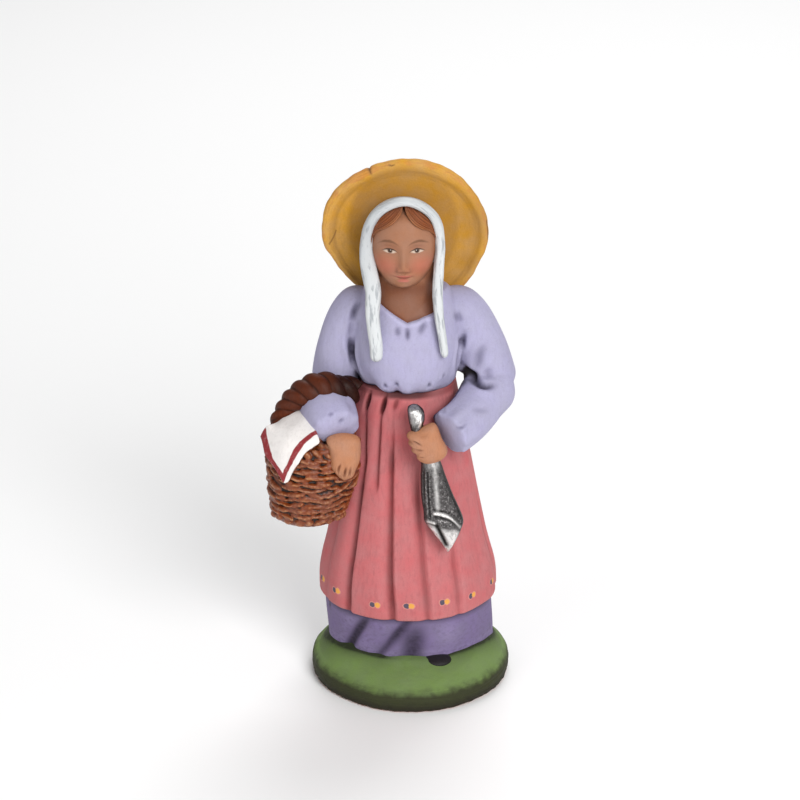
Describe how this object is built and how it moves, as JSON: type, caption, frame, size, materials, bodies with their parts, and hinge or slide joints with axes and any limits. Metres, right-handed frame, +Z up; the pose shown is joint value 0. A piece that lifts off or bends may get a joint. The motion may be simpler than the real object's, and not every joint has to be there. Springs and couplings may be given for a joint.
{
  "type": "santon figure",
  "caption": "Small painted clay crib figure of a fishwife with a straw hat, a covered basket on one arm and a fish in the other hand, standing on a round mound.",
  "frame": {"origin": "centre of the round mound's flat underside", "axes": "+Z up from the underside to the hat, -Y the way the figure faces, +X to the viewer's right"},
  "size_m": [0.033, 0.0264, 0.0693],
  "materials": {
    "painted_clay": "fired clay, hand painted in matt colours",
    "grass_green": "matt green paint, brown towards the underside",
    "violet": "matt violet paint, darker in the folds",
    "rose": "matt rose paint, dark red in the folds, small dots over the hem",
    "lavender": "matt lavender paint with mauve shading",
    "skin": "matt skin paint with blushed cheeks",
    "white": "thick brushed white paint",
    "straw": "matt ochre paint worn to the clay along the edge",
    "wicker": "brown paint with a dark wash and a satin varnish",
    "silver": "silver paint with a dark wash",
    "black": "satin black paint"
  },
  "bodies": {
    "root": {"figure": "painted_clay"}
  },
  "joints": []
}
